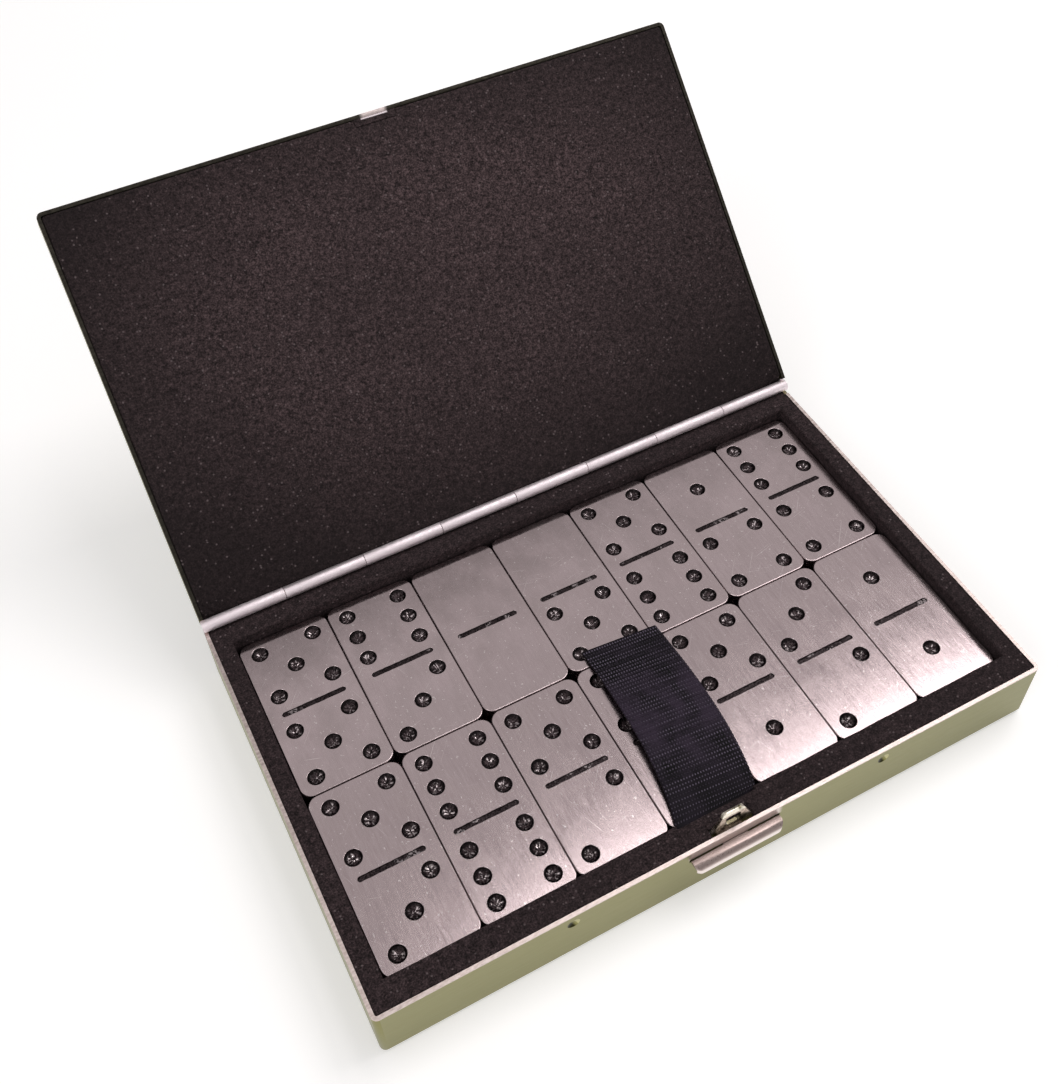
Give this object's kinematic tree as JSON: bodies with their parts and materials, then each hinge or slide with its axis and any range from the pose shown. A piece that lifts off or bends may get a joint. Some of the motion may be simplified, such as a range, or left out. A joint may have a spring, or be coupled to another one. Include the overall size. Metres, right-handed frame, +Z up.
{
  "type": "domino storage box",
  "caption": "Flat hinged metal case lined with foam that holds a set of metal dominoes in layers under a lifting ribbon, with a push latch at the front",
  "frame": {"origin": "centre of the flat underside of the base", "axes": "+X along the hinge to the right, +Y from the latch to the hinge, +Z up; the lid stands open behind the base"},
  "size_m": [0.187, 0.2046, 0.1047],
  "materials": {
    "case_metal": "bare satin sheet, fine rolling grain, bright along its cut edges",
    "nickel": "bright nickel plate over stamped steel",
    "spring_steel": "plain hardened strip",
    "tile_steel": "brushed along the length, lightly scratched, pips and groove filled with gloss black paint",
    "foam": null,
    "ribbon": "navy-black grosgrain with crosswise ribs"
  },
  "bodies": {
    "base": {"base_shell": "case_metal", "hinge_pin": "nickel", "latch_spring": "spring_steel", "foam_front": "foam", "foam_back": "foam", "foam_left": "foam", "foam_right": "foam", "floor_pad": "foam", "ribbon_run": "ribbon", "tile_0_5": "tile_steel", "tile_1_6": "tile_steel", "tile_4_2": "tile_steel", "tile_0_2": "tile_steel", "tile_5_6": "tile_steel", "tile_4_4": "tile_steel", "tile_5_1": "tile_steel", "tile_3_4": "tile_steel"},
    "lid": {"lid_shell": "case_metal", "lid_catch": "nickel", "lid_foam": "foam"},
    "latch": {"latch_plate": "nickel"},
    "ribbon_flap": {"ribbon_flap": "ribbon"},
    "tile_5_5": {"tile_5_5": "tile_steel"},
    "tile_0_1": {"tile_0_1": "tile_steel"},
    "tile_5_3": {"tile_5_3": "tile_steel"},
    "tile_1_3": {"tile_1_3": "tile_steel"},
    "tile_6_3": {"tile_6_3": "tile_steel"},
    "tile_2_6": {"tile_2_6": "tile_steel"},
    "tile_6_6": {"tile_6_6": "tile_steel"},
    "tile_0_6": {"tile_0_6": "tile_steel"},
    "tile_0_0": {"tile_0_0": "tile_steel"},
    "tile_3_3": {"tile_3_3": "tile_steel"},
    "tile_5_2": {"tile_5_2": "tile_steel"},
    "tile_2_1": {"tile_2_1": "tile_steel"},
    "tile_1_4": {"tile_1_4": "tile_steel"},
    "tile_0_4": {"tile_0_4": "tile_steel"},
    "tile_3_2": {"tile_3_2": "tile_steel"},
    "tile_0_3": {"tile_0_3": "tile_steel"},
    "tile_6_4": {"tile_6_4": "tile_steel"},
    "tile_2_2": {"tile_2_2": "tile_steel"},
    "tile_1_1": {"tile_1_1": "tile_steel"},
    "tile_4_5": {"tile_4_5": "tile_steel"}
  },
  "joints": [
    {"name": "lid_hinge", "type": "hinge", "parent": "base", "child": "lid", "pos_m": [0, 0.05715, 0.0222], "axis": [-1, 0, 0], "range_deg": [-135, 0]},
    {"name": "latch_press", "type": "slide", "parent": "base", "child": "latch", "axis": [0, 1, 0], "range_m": [0, 0.0015], "stiffness_N_per_m": 1500, "springref_m": -0.001, "deforming": ["latch_spring"]},
    {"name": "ribbon_lift", "type": "hinge", "parent": "base", "child": "ribbon_flap", "pos_m": [-0.001, -0.04925, 0.0173], "axis": [0.9965, -0.0837, 0], "range_deg": [0, 80]},
    {"name": "lift_0_1", "type": "slide", "parent": "base", "child": "tile_0_1", "axis": [0, 0, 1], "range_m": [0, 0.03]},
    {"name": "lift_5_5", "type": "slide", "parent": "tile_0_1", "child": "tile_5_5", "axis": [0, 0, 1], "range_m": [0, 0.03]},
    {"name": "lift_1_3", "type": "slide", "parent": "base", "child": "tile_1_3", "axis": [0, 0, 1], "range_m": [0, 0.03]},
    {"name": "lift_5_3", "type": "slide", "parent": "tile_1_3", "child": "tile_5_3", "axis": [0, 0, 1], "range_m": [0, 0.03]},
    {"name": "lift_2_6", "type": "slide", "parent": "base", "child": "tile_2_6", "axis": [0, 0, 1], "range_m": [0, 0.03]},
    {"name": "lift_6_3", "type": "slide", "parent": "tile_2_6", "child": "tile_6_3", "axis": [0, 0, 1], "range_m": [0, 0.03]},
    {"name": "lift_0_6", "type": "slide", "parent": "base", "child": "tile_0_6", "axis": [0, 0, 1], "range_m": [0, 0.03]},
    {"name": "lift_6_6", "type": "slide", "parent": "tile_0_6", "child": "tile_6_6", "axis": [0, 0, 1], "range_m": [0, 0.03]},
    {"name": "lift_3_3", "type": "slide", "parent": "base", "child": "tile_3_3", "axis": [0, 0, 1], "range_m": [0, 0.03]},
    {"name": "lift_0_0", "type": "slide", "parent": "tile_3_3", "child": "tile_0_0", "axis": [0, 0, 1], "range_m": [0, 0.03]},
    {"name": "lift_2_1", "type": "slide", "parent": "base", "child": "tile_2_1", "axis": [0, 0, 1], "range_m": [0, 0.03]},
    {"name": "lift_5_2", "type": "slide", "parent": "tile_2_1", "child": "tile_5_2", "axis": [0, 0, 1], "range_m": [0, 0.03]},
    {"name": "lift_0_4", "type": "slide", "parent": "base", "child": "tile_0_4", "axis": [0, 0, 1], "range_m": [0, 0.03]},
    {"name": "lift_1_4", "type": "slide", "parent": "tile_0_4", "child": "tile_1_4", "axis": [0, 0, 1], "range_m": [0, 0.03]},
    {"name": "lift_0_3", "type": "slide", "parent": "base", "child": "tile_0_3", "axis": [0, 0, 1], "range_m": [0, 0.03]},
    {"name": "lift_3_2", "type": "slide", "parent": "tile_0_3", "child": "tile_3_2", "axis": [0, 0, 1], "range_m": [0, 0.03]},
    {"name": "lift_2_2", "type": "slide", "parent": "base", "child": "tile_2_2", "axis": [0, 0, 1], "range_m": [0, 0.03]},
    {"name": "lift_6_4", "type": "slide", "parent": "tile_2_2", "child": "tile_6_4", "axis": [0, 0, 1], "range_m": [0, 0.03]},
    {"name": "lift_4_5", "type": "slide", "parent": "base", "child": "tile_4_5", "axis": [0, 0, 1], "range_m": [0, 0.03]},
    {"name": "lift_1_1", "type": "slide", "parent": "tile_4_5", "child": "tile_1_1", "axis": [0, 0, 1], "range_m": [0, 0.03]}
  ]
}
